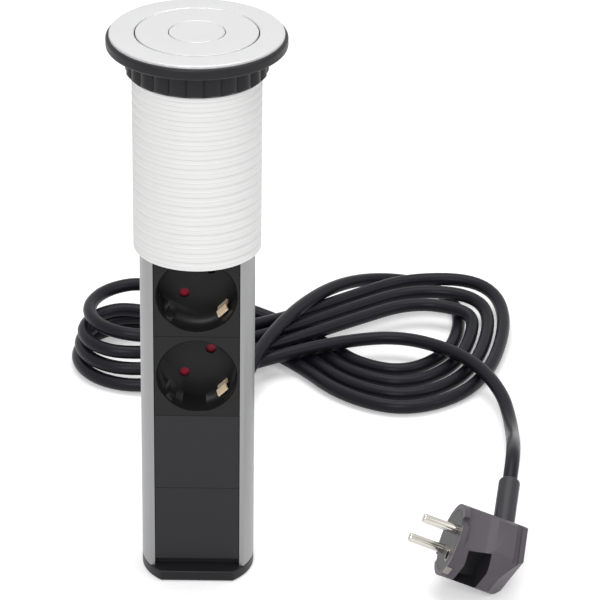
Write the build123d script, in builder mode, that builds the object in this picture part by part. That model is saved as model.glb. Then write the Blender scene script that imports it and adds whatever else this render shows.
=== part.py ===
"""Pull-up socket tower for a desk cut-out, stowed in its collar, with its mains cord and plug.

Frame: the origin is the centre of the base cap's underside, +X to the right of the sockets,
+Y towards the back, +Z up. All lengths are in millimetres.
"""

from build123d import *
import math
import os

os.makedirs("parts", exist_ok=True)

# Fits
gap = 0.3  # between pieces that pass each other or lie side by side
slide_gap = 0.15  # between a sliding or turning piece and its guide
bore_gap = 0.05  # round a fixed piece in its bore
overrun = 1.0  # how far a cut runs past the face that it opens

# Tower section
tower_r = 28.8
tower_front = 16.0  # from the axis to the plane of the front lips
tower_back = 24.8  # from the axis to the back flat
window_half = 21.6  # half of the open front between the lips
back_wall = 1.9

# Tower heights
base_height = 5.8
panel_start = 9.9  # underside of the lower blank panel
blank_height = 42.0
module_height = 45.0
socket_count = 4
profile_over = 0.6  # profile above the top socket
head_flange = 5.2
head_height = 22.0  # from the top of the profile to the top of the lid
lid_thick = 1.6

# Collar and flange
collar_wall = 2.6
collar_gap = 0.4  # between the tower and the collar's bore
collar_length = 106.0
thread_pitch = 5.0
thread_depth = 0.6
thread_width = 2.4
thread_margin = 3.2  # from the collar's foot to the lowest groove
guide_under = 3.3  # from the collar's top to the top of the guides
guide_over = 3.4  # from the cable slot to the rear guide
rim_width = 13.7
face_inset = 1.6  # from the rim's edge to the face ring
face_thick = 1.6
face_edge = 0.5
rim_round = 1.3
lid_over = 0.6  # how far the lid reaches over the collar's bore
lid_gap = 0.6
ring_recess = 0.4  # recess in the rim over the pressure ring

# Clamping nut
nut_wall = 3.0  # from the collar to the top of the lobes
nut_height = 11.9
lobe_count = 24
ring_over = 0.4  # how far the pressure ring reaches past the nut
ring_height = 1.4
desk_max = 50.0  # how far the nut runs down
nut_gap = 0.3

# Cord
cord_r = 3.85
cord_rest = 4.4  # height of the centre of a cord that lies on the floor
cord_exit_height = 6.0
relief_r = 5.4
relief_tip_r = 4.4
relief_length = 28.0

# Sizes that follow from these
blank_top = panel_start + 2 * blank_height
modules_top = blank_top + socket_count * module_height
profile_top = modules_top + profile_over
inner_r = math.hypot(window_half, tower_front)
inner_back = tower_back - back_wall
collar_bore = tower_r + collar_gap
collar_r = collar_bore + collar_wall
lid_r = collar_bore + lid_over
rim_r = lid_r + lid_gap + rim_width
face_r = rim_r - face_inset
nut_r = collar_r + nut_wall
ring_r = nut_r + ring_over
rim_height = head_flange + gap
flange_top = profile_top + head_height
seat_height = flange_top - lid_thick - rim_height  # top of the collar, where the head rests
collar_bottom = seat_height - collar_length
thread_start = collar_bottom + thread_margin
stroke = flange_top - blank_top
stop_height = base_height + stroke + gap


def save(piece, name):
    """Label a finished piece and write it to its own file."""
    piece.part.label = name
    export_step(piece.part, f"parts/{name}.step")


def flat_disc(radius, front, back):
    """A round of that radius, cut flat at the front and at the back."""
    Circle(radius)
    with Locations((0, -front)):
        Rectangle(4 * radius, 4 * radius, align=(Align.CENTER, Align.MAX), mode=Mode.SUBTRACT)
    with Locations((0, back)):
        Rectangle(4 * radius, 4 * radius, align=(Align.CENTER, Align.MIN), mode=Mode.SUBTRACT)


# Base cap, with a trough for the cord and a notch for its strain relief
base_front = 22.0
base_edge = 0.8
port_x = 20.6  # screw ports in the profile's back corners
port_y = 12.5
port_r = 2.7
screw_r = 1.5
screw_head_r = 2.9
screw_length = 16.0
neck_r = 4.9  # neck of the strain relief in the wall
collar_ring_r = 5.6  # ring of the strain relief inside the wall
collar_ring = 2.0
jacket_end = 8.0  # where the cord's jacket ends inside the tower
saddle_y = 13.0
saddle_width = 24.0
saddle_depth = 6.0
saddle_wall = 2.2
saddle_screw_x = 9.0
saddle_foot = 2.4
core_r = 1.3  # one of the three wires inside the jacket
core_bend = 4.0

with BuildPart() as base_cap:
    with BuildSketch():
        flat_disc(tower_r, base_front, tower_back)
    extrude(amount=base_height)
    chamfer(base_cap.faces().sort_by(Axis.Z)[0].edges(), length=base_edge)
    chamfer(base_cap.faces().sort_by(Axis.Z)[-1].edges(), length=base_edge / 2)
    # Trough for the cord and its wires, from where they turn up to the back
    with BuildSketch(Plane.XZ.offset(-tower_back - overrun)):
        with Locations((0, cord_exit_height)):
            Circle(cord_r + bore_gap)
    extrude(amount=tower_back - jacket_end + 2 * core_bend + core_r + 2 * overrun, mode=Mode.SUBTRACT)
    with BuildSketch(Plane.XZ.offset(-tower_back - overrun)):
        with Locations((0, cord_exit_height)):
            Circle(neck_r + bore_gap)
    extrude(amount=back_wall + gap + overrun, mode=Mode.SUBTRACT)
    with BuildSketch(Plane.XZ.offset(-inner_back)):
        with Locations((0, cord_exit_height)):
            Circle(collar_ring_r + bore_gap)
    extrude(amount=collar_ring + gap, mode=Mode.SUBTRACT)
    # Countersunk holes for the base screws, and pilot holes for the clamp screws
    with Locations((port_x, port_y), (-port_x, port_y)):
        with Locations(Rotation(180, 0, 0)):
            CounterSinkHole(screw_r + gap, screw_head_r + gap)
    with Locations((saddle_screw_x, saddle_y, base_height), (-saddle_screw_x, saddle_y, base_height)):
        Hole(screw_r, depth=base_height - saddle_foot / 2)
save(base_cap, "base_cap")


def countersunk_screw(length):
    """One screw, its head's face at the origin and its shank up along +Z."""
    with BuildPart(mode=Mode.PRIVATE) as screw:
        with BuildSketch(Plane.XZ):
            with BuildLine():
                Polyline(
                    (0, 0),
                    (screw_head_r, 0),
                    (screw_r, screw_head_r - screw_r),
                    (screw_r, length - screw_r),
                    (0, length),
                    close=True,
                )
            make_face()
        revolve()
        with BuildSketch():
            SlotOverall(2 * screw_r, screw_r / 2)
            SlotOverall(2 * screw_r, screw_r / 2, rotation=90)
        extrude(amount=screw_r / 2, mode=Mode.SUBTRACT)
    return screw.part


with BuildPart() as base_screws:
    with Locations((port_x, port_y, gap), (-port_x, port_y, gap)):
        add(countersunk_screw(screw_length))
save(base_screws, "base_screws")

# Aluminium profile: a wall round three sides, open at the front, with two screw ports
port_wall = 1.2
notch_top = cord_exit_height + neck_r + bore_gap

with BuildPart() as tower_profile:
    with BuildSketch(Plane.XY.offset(base_height)):
        flat_disc(tower_r, tower_front, tower_back)
        with BuildSketch(mode=Mode.SUBTRACT):
            flat_disc(inner_r, tower_front, inner_back)
        with Locations((port_x, port_y), (-port_x, port_y)):
            Circle(port_r + port_wall)
        with BuildSketch(mode=Mode.INTERSECT):
            flat_disc(tower_r, tower_front, tower_back)
        with Locations((port_x, port_y), (-port_x, port_y)):
            Circle(screw_r, mode=Mode.SUBTRACT)
    extrude(amount=profile_top - base_height)
    with BuildSketch(Plane.XZ.offset(-tower_back - overrun)):
        with Locations((0, cord_exit_height)):
            Circle(neck_r + bore_gap)
            Rectangle(2 * (neck_r + bore_gap), base_height, align=(Align.CENTER, Align.MAX))
    extrude(amount=back_wall + 2 * overrun, mode=Mode.SUBTRACT)
save(tower_profile, "tower_profile")

# Front panels and sockets share this front face
face_half = window_half - gap
face_plane = tower_front - gap  # from the axis to the front of the panels
face_depth = 2.3
body_half = 22.3
seam = 0.2  # between two panels, one above the other
step_depth = 2.5  # recess under the lower panel
blank_skirt = 10.0
blank_wall = 1.8

for name, start, recessed in (
    ("blank_lower", panel_start, True),
    ("blank_upper", panel_start + blank_height, False),
):
    with BuildPart() as blank:
        low = start + seam / 2
        height = blank_height - seam
        with BuildSketch(Plane.XZ.offset(face_plane)):
            with Locations((0, low)):
                Rectangle(2 * face_half, height, align=(Align.CENTER, Align.MIN))
        extrude(amount=-face_depth)
        with BuildSketch(Plane.XZ.offset(face_plane - face_depth)):
            with Locations((0, low)):
                Rectangle(2 * body_half, height, align=(Align.CENTER, Align.MIN))
        extrude(amount=-blank_skirt)
        with BuildSketch(Plane.XZ.offset(face_plane - face_depth - blank_wall)):
            with Locations((0, low + blank_wall)):
                Rectangle(
                    2 * (body_half - blank_wall),
                    height - 2 * blank_wall,
                    align=(Align.CENTER, Align.MIN),
                )
        extrude(amount=-blank_skirt, mode=Mode.SUBTRACT)
        if recessed:
            with BuildSketch(Plane.XZ.offset(face_plane - step_depth)):
                with Locations((0, base_height + seam)):
                    Rectangle(
                        2 * face_half,
                        low - base_height - seam + blank_wall,
                        align=(Align.CENTER, Align.MIN),
                    )
            extrude(amount=-blank_wall)
    save(blank, name)

# Sockets
well_r = 19.8
well_mouth_r = 20.5
well_depth = 17.5
well_floor = 2.2
pin_circle = 9.5  # from the well's axis to a pin
pin_hole_r = 2.7
rib_width = 4.6
rib_height = 2.3
rib_setback = 4.0
clip_width = 6.4
clip_thick = 1.0
clip_stand = 2.3  # from the well's wall to the clip's inner face
clip_setback = 8.0
rear_half = 13.2
rear_wall = 1.6
rear_margin = 2.0  # from the rear box to the module's top and bottom
pin_length = 19.0
back_plate = 1.3
shutter_thick = 1.5
lobe_r = 3.6
hub_r = 3.2
pivot_r = 1.5
strap_thick = 1.0
contact_r = 3.4
contact_bore = 2.5
contact_length = 10.0
bar_width = 4.8
bar_thick = 1.0
pin_axis = 45.0  # angle of the line through the pin holes, from +X

floor_face = face_plane - well_depth  # from the axis forward to the well's floor
floor_back = floor_face - well_floor
strap_front = floor_back - shutter_thick - 2 * slide_gap - gap
strap_back = strap_front - strap_thick
contact_front = strap_back - bar_thick - gap
contact_back = contact_front - contact_length
box_end = floor_face - pin_length - gap
pin_share = math.cos(math.radians(pin_axis))
pin_x = pin_circle * pin_share
bar_x = pin_x
slot_half = bar_width / 2 + gap


def socket_face(middle):
    """The front plane of one socket, centred on its well, seen from the front."""
    return Plane((0, -face_plane, middle), x_dir=(1, 0, 0), z_dir=(0, -1, 0))


def socket_body(middle):
    """Body of one socket, its well's axis at that height."""
    face = socket_face(middle)
    behind = face.offset(floor_back - face_plane)
    half = (module_height - seam) / 2
    rear_z = half - rear_margin
    mouth = well_mouth_r - well_r
    clip_r = well_r - clip_stand + clip_thick / 2
    with BuildPart(mode=Mode.PRIVATE) as body:
        with BuildSketch(face):
            Rectangle(2 * face_half, 2 * half)
        extrude(amount=-face_depth)
        with BuildSketch(face.offset(-face_depth)):
            Rectangle(2 * body_half, 2 * half)
        extrude(amount=floor_back - face_plane + face_depth)
        with BuildSketch(behind):
            Rectangle(2 * rear_half, 2 * rear_z)
            Rectangle(2 * (rear_half - rear_wall), 2 * (rear_z - rear_wall), mode=Mode.SUBTRACT)
        extrude(amount=box_end - floor_back)
        # The well, with a light chamfer round its mouth
        with BuildSketch(face):
            Circle(well_r)
        extrude(amount=-well_depth, mode=Mode.SUBTRACT)
        with BuildSketch(face):
            Circle(well_mouth_r)
        extrude(amount=-mouth, taper=45, mode=Mode.SUBTRACT)
        # Guide ribs on the line of the pins
        with BuildSketch(face.offset(-rib_setback)):
            with PolarLocations(well_r, 2, start_angle=pin_axis):
                Rectangle(2 * rib_height, rib_width)
            Circle(well_r + mouth, mode=Mode.INTERSECT)
        extrude(amount=rib_setback - well_depth)
        # Pin holes, and slots for the earth clips
        with BuildSketch(face.offset(-well_depth + overrun)):
            with PolarLocations(pin_circle, 2, start_angle=pin_axis):
                Circle(pin_hole_r)
            with PolarLocations(clip_r, 2, start_angle=pin_axis + 90):
                Rectangle(clip_thick + 2 * gap, clip_width + 2 * gap)
        extrude(amount=-well_floor - 2 * overrun, mode=Mode.SUBTRACT)
        # Notches in the rear box for the earth bar, the other busbars and the earth strap
        with BuildSketch(Plane.XZ.offset(strap_front + gap)):
            with Locations((0, middle)):
                Rectangle(2 * slot_half, 2 * half)
        extrude(amount=box_end - strap_front - 2 * gap, mode=Mode.SUBTRACT)
        with BuildSketch(Plane.XZ.offset(contact_back + gap)):
            with Locations((bar_x, middle), (-bar_x, middle)):
                Rectangle(2 * slot_half, 2 * half)
        extrude(amount=box_end - contact_back - 2 * gap, mode=Mode.SUBTRACT)
        with BuildSketch(behind):
            with Locations(Rotation(0, 0, pin_axis + 90)):
                Rectangle(4 * rear_half, clip_width + 2 * gap)
        extrude(amount=strap_back - floor_back - gap, mode=Mode.SUBTRACT)
        # Pivot of the shutter, between the pins
        with BuildSketch(behind):
            Circle(pivot_r)
        extrude(amount=strap_back - floor_back)
    return body.part


clip_lean = 0.8  # how far a clip's knee stands in front of its leg
clip_knee = 3.5  # from the clip's tip down to its knee


def earth_clips(middle):
    """One strap of spring brass: a bar behind the floor and a leg up each side of the well."""
    face = socket_face(middle)
    inner = well_r - clip_stand
    strap_depth = face_plane - strap_back
    leg = (
        (inner, strap_depth),
        (inner, clip_setback + 2 * clip_knee),
        (inner - clip_lean, clip_setback + clip_knee),
        (inner + clip_lean / 2, clip_setback),
    )
    outer = [(r + clip_thick, depth) for r, depth in reversed(leg)]
    with BuildPart(mode=Mode.PRIVATE) as clips:
        with BuildSketch(face.offset(strap_back - face_plane)):
            with Locations(Rotation(0, 0, pin_axis + 90)):
                Rectangle(2 * (inner + clip_thick), clip_width)
            Circle(pivot_r + bore_gap, mode=Mode.SUBTRACT)
        extrude(amount=strap_thick)
        for angle in (pin_axis + 90, pin_axis + 270):
            across = math.cos(math.radians(angle))
            up = math.sin(math.radians(angle))
            # Seen along the strip's width: outwards from the axis, and back from the face
            with BuildSketch(
                Plane((0, -face_plane, middle), x_dir=(across, 0, up), z_dir=(-up, 0, across))
            ):
                with BuildLine():
                    Polyline(*leg, *outer, close=True)
                make_face()
            extrude(amount=clip_width / 2, both=True)
    return clips.part


def pin_contacts(middle):
    """Two split sleeves that grip the plug's pins, one for each pole, with a tail each."""
    face = socket_face(middle)
    with BuildPart(mode=Mode.PRIVATE) as contacts:
        with BuildSketch(face.offset(contact_front - face_plane)):
            with PolarLocations(pin_circle, 2, start_angle=pin_axis):
                Circle(contact_r)
                Circle(contact_bore, mode=Mode.SUBTRACT)
            with PolarLocations(pin_circle + contact_r, 2, start_angle=pin_axis):
                Rectangle(contact_r, gap, mode=Mode.SUBTRACT)
        extrude(amount=contact_back - contact_front)
    return contacts.part


def socket_back(middle):
    """Cover over the open back of a socket."""
    half = (module_height - seam) / 2 - rear_margin
    with BuildPart(mode=Mode.PRIVATE) as cover:
        with BuildSketch(socket_face(middle).offset(box_end - face_plane)):
            Rectangle(2 * rear_half, 2 * half)
        extrude(amount=-back_plate)
        chamfer(cover.faces().sort_by(Axis.Y)[-1].edges(), length=back_plate / 3)
    return cover.part


def shutter(middle):
    """Child-protection shutter: a hub with a pad behind each pin hole."""
    with BuildPart(mode=Mode.PRIVATE) as vane:
        with BuildSketch(socket_face(middle).offset(floor_back - face_plane - slide_gap)):
            Circle(hub_r)
            with Locations(Rotation(0, 0, pin_axis)):
                Rectangle(2 * pin_circle, 2 * hub_r * pin_share)
            with PolarLocations(pin_circle, 2, start_angle=pin_axis):
                Circle(lobe_r)
            Circle(pivot_r + bore_gap, mode=Mode.SUBTRACT)
        extrude(amount=-shutter_thick)
    return vane.part


for number in range(1, socket_count + 1):
    middle = blank_top + (number - 1 / 2) * module_height
    for name, make in (
        ("socket_body", socket_body),
        ("earth_clips", earth_clips),
        ("pin_contacts", pin_contacts),
        ("socket_back", socket_back),
        ("shutter", shutter),
    ):
        with BuildPart() as piece:
            add(make(middle))
        save(piece, f"{name}_{number}")

# Supply: busbars down the sockets to a terminal block, and three cores from the cord
block_half = 13.0
block_bottom = 62.0
block_height = 16.0
block_depth = 15.0
block_screw_r = 2.0
block_screw_sink = 3.0
core_rise = 40.0
bars_top = modules_top - rear_margin - rear_wall
block_back = inner_back - gap
block_top = block_bottom + block_height
poles = (-bar_x, 0, bar_x)

for name, x, front in (
    ("busbar_neutral", -bar_x, -contact_back),
    ("busbar_earth", 0, -strap_back),
    ("busbar_live", bar_x, -contact_back),
):
    with BuildPart() as busbar:
        with BuildSketch(Plane.XY.offset(block_top)):
            with Locations((x, front)):
                Rectangle(bar_width, bar_thick, align=(Align.CENTER, Align.MIN))
        extrude(amount=bars_top - block_top)
    save(busbar, name)

with BuildPart() as terminal_block:
    with BuildSketch(Plane.XY.offset(block_bottom)):
        with Locations((0, block_back)):
            Rectangle(2 * block_half, block_depth, align=(Align.CENTER, Align.MAX))
    extrude(amount=block_height)
    chamfer(terminal_block.edges().filter_by(Axis.Z), length=base_edge)
    with BuildSketch(Plane.XZ.offset(block_depth - block_back)):
        with Locations(*[(x, block_bottom + block_height / 2) for x in poles]):
            Circle(block_screw_r + gap)
    extrude(amount=-block_screw_sink, mode=Mode.SUBTRACT)
save(terminal_block, "terminal_block")

with BuildPart() as terminal_screws:
    with BuildSketch(Plane.XZ.offset(block_depth - block_back - block_screw_sink)):
        with Locations(*[(x, block_bottom + block_height / 2) for x in poles]):
            Circle(block_screw_r)
    extrude(amount=block_screw_sink / 2)
    with BuildSketch(Plane.XZ.offset(block_depth - block_back - block_screw_sink / 2)):
        with Locations(*[(x, block_bottom + block_height / 2) for x in poles]):
            SlotOverall(2 * block_screw_r - gap, block_screw_r / 4)
    extrude(amount=-block_screw_sink / 6, mode=Mode.SUBTRACT)
save(terminal_screws, "terminal_screws")

with BuildPart() as core_wires:
    for side in (-1, 0, 1):
        low_x = side * core_r * 2
        top_x = side * bar_x
        bend_y = jacket_end - 2 * core_bend
        top_y = block_back - block_depth / 2
        with BuildLine():
            path = FilletPolyline(
                (low_x, jacket_end, cord_exit_height),
                (low_x, bend_y, cord_exit_height),
                (low_x, bend_y, cord_exit_height + 3 * core_bend),
                (top_x, top_y, core_rise),
                (top_x, top_y, block_bottom),
                radius=core_bend,
            )
        with BuildSketch(Plane(origin=path @ 0, z_dir=path % 0)):
            Circle(core_r)
        sweep(path=path)
save(core_wires, "core_wires")

# Cord entry: the clamp, the length of cord inside the tower, and the strain relief
saddle_top = cord_exit_height + cord_r + saddle_wall
relief_tip = tower_back + slide_gap + relief_length

with BuildPart() as cord_clamp:
    with BuildSketch(Plane.XZ.offset(-saddle_y)):
        with Locations((0, base_height)):
            Rectangle(saddle_width, saddle_foot, align=(Align.CENTER, Align.MIN))
            Rectangle(
                2 * (cord_r + saddle_wall),
                saddle_top - base_height,
                align=(Align.CENTER, Align.MIN),
            )
        with Locations((0, cord_exit_height)):
            Circle(cord_r + bore_gap, mode=Mode.SUBTRACT)
    extrude(amount=saddle_depth / 2, both=True)
    with Locations(
        (saddle_screw_x, saddle_y, base_height + saddle_foot),
        (-saddle_screw_x, saddle_y, base_height + saddle_foot),
    ):
        Hole(screw_r + slide_gap, depth=saddle_foot)
save(cord_clamp, "cord_clamp")

with BuildPart() as clamp_screws:
    with Locations((saddle_screw_x, saddle_y), (-saddle_screw_x, saddle_y)):
        with Locations((0, 0, base_height + saddle_foot)):
            Cylinder(2 * screw_r - gap, screw_r, align=(Align.CENTER, Align.CENTER, Align.MIN))
            Cylinder(
                screw_r - bore_gap,
                saddle_foot + base_height / 2,
                align=(Align.CENTER, Align.CENTER, Align.MAX),
            )
save(clamp_screws, "clamp_screws")

with BuildPart() as cord_entry:
    with BuildSketch(Plane.XZ.offset(-jacket_end)):
        with Locations((0, cord_exit_height)):
            Circle(cord_r)
    extrude(amount=jacket_end - relief_tip)
save(cord_entry, "cord_entry")

with BuildPart() as cord_relief:
    with BuildSketch(Plane.YZ):
        with BuildLine():
            wall = inner_back - gap / 2
            Polyline(
                (wall - collar_ring, cord_exit_height + cord_r + bore_gap),
                (wall - collar_ring, cord_exit_height + collar_ring_r),
                (wall, cord_exit_height + collar_ring_r),
                (wall, cord_exit_height + neck_r),
                (tower_back + slide_gap, cord_exit_height + neck_r),
                (tower_back + slide_gap, cord_exit_height + relief_r),
                (relief_tip, cord_exit_height + relief_tip_r),
                (relief_tip, cord_exit_height + cord_r + bore_gap),
                close=True,
            )
        make_face()
    revolve(axis=Axis((0, 0, cord_exit_height), (0, 1, 0)))
save(cord_relief, "cord_relief")

# Head: the block under the lid, with the push button and its latch
button_r = 13.6
button_thick = 3.1
button_skirt = 7.4
button_wall = 1.5
button_well = 10.0  # from the lid's top to the bottom of the button's well
press = 2.5
stem_r = 5.0
bolt_width = 8.0
bolt_height = 3.0
bolt_drop = 16.0  # from the lid's top to the middle of the bolt
bolt_throw = 2.2
bolt_hold = 0.9  # how far the bolt reaches into the collar
bolt_tail = 6.0
blade_thick = 2.4
blade_width = 4.0
spring_r = 7.2
spring_wire = 0.45
spring_turns = 4
head_r = lid_r - slide_gap
bolt_reach = collar_bore + bolt_hold
bolt_z = flange_top - bolt_drop
well_z = flange_top - button_well
lid_z = flange_top - lid_thick
screw_down = lid_z - gap - profile_top + screw_length / 2

with BuildPart() as head_block:
    with BuildSketch(Plane.XY.offset(profile_top)):
        flat_disc(tower_r, tower_front, tower_back)
    extrude(amount=seat_height + gap - profile_top)
    with BuildSketch(Plane.XY.offset(seat_height + gap)):
        Circle(head_r)
    extrude(amount=lid_z - seat_height - gap)
    with Locations((0, 0, lid_z)):
        Hole(button_r + gap, depth=lid_z - well_z)
    with Locations((0, 0, well_z)):
        Hole(stem_r + gap, depth=well_z - bolt_z + bolt_height + press)
    with BuildSketch(Plane.YZ.offset(-bolt_tail - bolt_throw - gap)):
        with Locations((0, bolt_z)):
            Rectangle(bolt_width + 2 * slide_gap, bolt_height + 2 * slide_gap)
    extrude(amount=bolt_tail + bolt_throw + gap + tower_r + overrun, mode=Mode.SUBTRACT)
    with Locations((port_x, port_y, lid_z), (-port_x, port_y, lid_z)):
        CounterSinkHole(screw_r + slide_gap, screw_head_r + gap)
save(head_block, "head_block")

with BuildPart() as head_screws:
    with Locations((port_x, port_y, lid_z - gap), (-port_x, port_y, lid_z - gap)):
        with Locations(Rotation(180, 0, 0)):
            add(countersunk_screw(screw_down))
save(head_screws, "head_screws")

with BuildPart() as lid_disc:
    with BuildSketch(Plane.XY.offset(lid_z)):
        Circle(lid_r)
        Circle(button_r + gap, mode=Mode.SUBTRACT)
    extrude(amount=lid_thick)
    chamfer(lid_disc.faces().sort_by(Axis.Z)[-1].edges(), length=lid_thick / 5)
save(lid_disc, "lid_disc")

slope = bolt_throw / press
stem_foot = bolt_height / 2 + press + gap

with BuildPart() as button:
    with BuildSketch(Plane.XY.offset(flange_top - button_thick)):
        Circle(button_r)
    extrude(amount=button_thick)
    chamfer(button.faces().sort_by(Axis.Z)[-1].edges(), length=lid_thick / 5)
    with BuildSketch(Plane.XY.offset(flange_top - button_skirt)):
        Circle(button_r - gap)
        Circle(button_r - gap - button_wall, mode=Mode.SUBTRACT)
    extrude(amount=button_skirt - button_thick)
    with BuildSketch(Plane.XY.offset(bolt_z + stem_foot)):
        Circle(stem_r)
    extrude(amount=flange_top - button_thick - bolt_z - stem_foot)
    # Slanted blade that draws the bolt in as the button goes down
    with BuildSketch(Plane.XZ):
        with BuildLine():
            foot = -bolt_height / 2 - gap
            Polyline(
                (-slope * foot - blade_thick / 2, bolt_z + foot),
                (-slope * foot + blade_thick / 2, bolt_z + foot),
                (-slope * stem_foot + blade_thick / 2, bolt_z + stem_foot),
                (-slope * stem_foot - blade_thick / 2, bolt_z + stem_foot),
                close=True,
            )
        make_face()
    extrude(amount=blade_width / 2, both=True)
save(button, "button")

with BuildPart() as button_spring:
    with BuildLine():
        coil = Helix(
            pitch=(button_well - button_thick - 3 * spring_wire) / spring_turns,
            height=button_well - button_thick - 3 * spring_wire,
            radius=spring_r,
            center=(0, 0, well_z + 3 * spring_wire / 2),
        )
    with BuildSketch(Plane(origin=coil @ 0, z_dir=coil % 0)):
        Circle(spring_wire)
    sweep(path=coil)
save(button_spring, "button_spring")

with BuildPart() as latch_bolt:
    with BuildSketch(Plane.YZ.offset(-bolt_tail)):
        with Locations((0, bolt_z)):
            Rectangle(bolt_width, bolt_height)
    extrude(amount=bolt_tail + bolt_reach)
    with BuildSketch(Plane.XZ):
        with BuildLine():
            half = blade_thick / 2 + slide_gap
            over = bolt_height
            Polyline(
                (slope * over - half, bolt_z - over),
                (slope * over + half, bolt_z - over),
                (-slope * over + half, bolt_z + over),
                (-slope * over - half, bolt_z + over),
                close=True,
            )
        make_face()
    extrude(amount=blade_width / 2 + slide_gap, both=True, mode=Mode.SUBTRACT)
save(latch_bolt, "latch_bolt")

# Collar: a tube with grooves outside, a cable slot at the rear and a groove for the latch
groove_count = int((seat_height - thread_start) / thread_pitch) + 1
slot_half_width = relief_r + 2 * gap
slot_top = cord_exit_height + relief_r + stroke + 2 * gap
latch_depth = 1.4
latch_drop = 6.0

with BuildPart() as collar:
    with BuildSketch(Plane.XZ):
        with BuildLine():
            points = [(collar_bore, collar_bottom), (collar_r, collar_bottom)]
            for n in range(groove_count):
                z = thread_start + n * thread_pitch
                points += [
                    (collar_r, z - thread_width / 2),
                    (collar_r - thread_depth, z - thread_width / 6),
                    (collar_r - thread_depth, z + thread_width / 6),
                    (collar_r, z + thread_width / 2),
                ]
            Polyline(*points, (collar_r, seat_height), (collar_bore, seat_height), close=True)
        make_face()
    revolve()
    with BuildSketch(Plane.XZ):
        with Locations((0, collar_bottom - overrun)):
            Rectangle(
                2 * slot_half_width,
                slot_top - collar_bottom + overrun,
                align=(Align.CENTER, Align.MIN),
            )
    extrude(amount=-collar_r - overrun, mode=Mode.SUBTRACT)
    with BuildSketch(Plane.YZ.offset(collar_bore - overrun)):
        with Locations((0, bolt_z - latch_drop)):
            Rectangle(
                bolt_width + 4 * gap,
                seat_height - bolt_z + latch_drop + overrun,
                align=(Align.CENTER, Align.MIN),
            )
    extrude(amount=overrun + latch_depth, mode=Mode.SUBTRACT)
save(collar, "collar")

# Guides in the collar, before and behind the tower's flats
guide_top = seat_height - guide_under
guide_r = collar_bore - gap
rear_guide_bottom = slot_top + guide_over
with BuildPart() as guide_front:
    with BuildSketch(Plane.XY.offset(stop_height)):
        Circle(guide_r)
        with Locations((0, -tower_front - gap)):
            Rectangle(4 * guide_r, 4 * guide_r, align=(Align.CENTER, Align.MIN), mode=Mode.SUBTRACT)
    extrude(amount=guide_top - stop_height)
save(guide_front, "guide_front")

with BuildPart() as guide_rear:
    with BuildSketch(Plane.XY.offset(rear_guide_bottom)):
        Circle(guide_r)
        with Locations((0, tower_back + gap)):
            Rectangle(4 * guide_r, 4 * guide_r, align=(Align.CENTER, Align.MAX), mode=Mode.SUBTRACT)
    extrude(amount=guide_top - rear_guide_bottom)
save(guide_rear, "guide_rear")

# Flange: a black rim that carries the silver face ring
ring_bore = collar_r + gap

with BuildPart() as flange_rim:
    with BuildSketch(Plane.XY.offset(seat_height)):
        Circle(rim_r)
        Circle(lid_r + lid_gap, mode=Mode.SUBTRACT)
    extrude(amount=rim_height)
    fillet(flange_rim.edges().filter_by(GeomType.CIRCLE).group_by(SortBy.RADIUS)[-1], rim_round)
    with BuildSketch(Plane.XY.offset(seat_height)):
        Circle(ring_r + 2 * gap)
        Circle(ring_bore, mode=Mode.SUBTRACT)
    extrude(amount=ring_recess, mode=Mode.SUBTRACT)
save(flange_rim, "flange_rim")

with BuildPart() as flange_face:
    with BuildSketch(Plane.XY.offset(flange_top - face_thick)):
        Circle(face_r)
        Circle(lid_r + lid_gap, mode=Mode.SUBTRACT)
    extrude(amount=face_thick)
    chamfer(flange_face.faces().sort_by(Axis.Z)[-1].edges(), length=face_edge)
save(flange_face, "flange_face")

# Clamping nut with round lobes, and the pressure ring above it
lobe_r = 6.0
lobe_out = nut_r - lobe_r
nut_bore = collar_r + nut_gap
nut_top = seat_height + ring_recess - gap - ring_height - gap
nut_bottom = nut_top - nut_height
nut_foot = 1.4  # height of the bevel under the lobes

with BuildPart() as clamp_nut:
    with BuildSketch(Plane.XY.offset(nut_bottom)):
        Circle((lobe_out + nut_r) / 2)
        with PolarLocations(lobe_out, lobe_count):
            Circle(lobe_r)
        Circle(nut_bore, mode=Mode.SUBTRACT)
    extrude(amount=nut_height)
    with BuildSketch(Plane.XZ):
        with BuildLine():
            Polyline(
                (nut_r - nut_foot, nut_bottom),
                (nut_r + overrun, nut_bottom),
                (nut_r + overrun, nut_bottom + nut_foot + overrun),
                close=True,
            )
        make_face()
    revolve(mode=Mode.SUBTRACT)
save(clamp_nut, "clamp_nut")

with BuildPart() as pressure_ring:
    with BuildSketch(Plane.XY.offset(nut_top + gap)):
        Circle(ring_r)
        Circle(nut_bore + slide_gap, mode=Mode.SUBTRACT)
    extrude(amount=ring_height)
save(pressure_ring, "pressure_ring")

# Plug, modelled about the centre of its face: +X away from the cord, +Z along the pins
plug_r = 19.2
plug_rim = 3.0
plug_depth = 36.0
plug_round = 1.0
grip_half = 14.6  # half of the thickness at the grip
ridge_half = 16.6  # half of the thickness at the pull ridge
ridge_start = 15.0
ridge_full = 19.5
ridge_end = 29.8
slot_depth = 2.6  # groove round the back of the pull ridge
slot_width = 3.2
side_half = 18.0
corner_cut = 9.0
hollow_r = 21.0
hollow_out = 31.0  # from the plug's axis to the axis of the hollow
hollow_lean = 14.0
hollow_rim = 9.0
slot_level = 11.6  # below the axis of the plug
slot_reach = 6.0
slot_length = 17.0
pin_r = 2.4
pin_gauge = 19.0  # between the pins' centres
pin_root = 6.0
insert_r = 16.0
insert_thick = 2.0
groove_width = 5.4
groove_depth = 2.8
earth_offset = 10.0
earth_bore = 2.5
earth_wall = 0.7
earth_width = 6.0
earth_length = plug_rim
sleeve_axis = 27.5  # behind the face
sleeve_r = 5.6
sleeve_root = 15.0
sleeve_end = 49.0
sleeve_round = 1.6
plug_x = 129.2
plug_y = -27.0
pins_ahead = Vector(-0.925, -0.010, 0.379).normalized()
cord_ahead = Vector(0.148, 0.911, 0.385).normalized()


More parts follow.
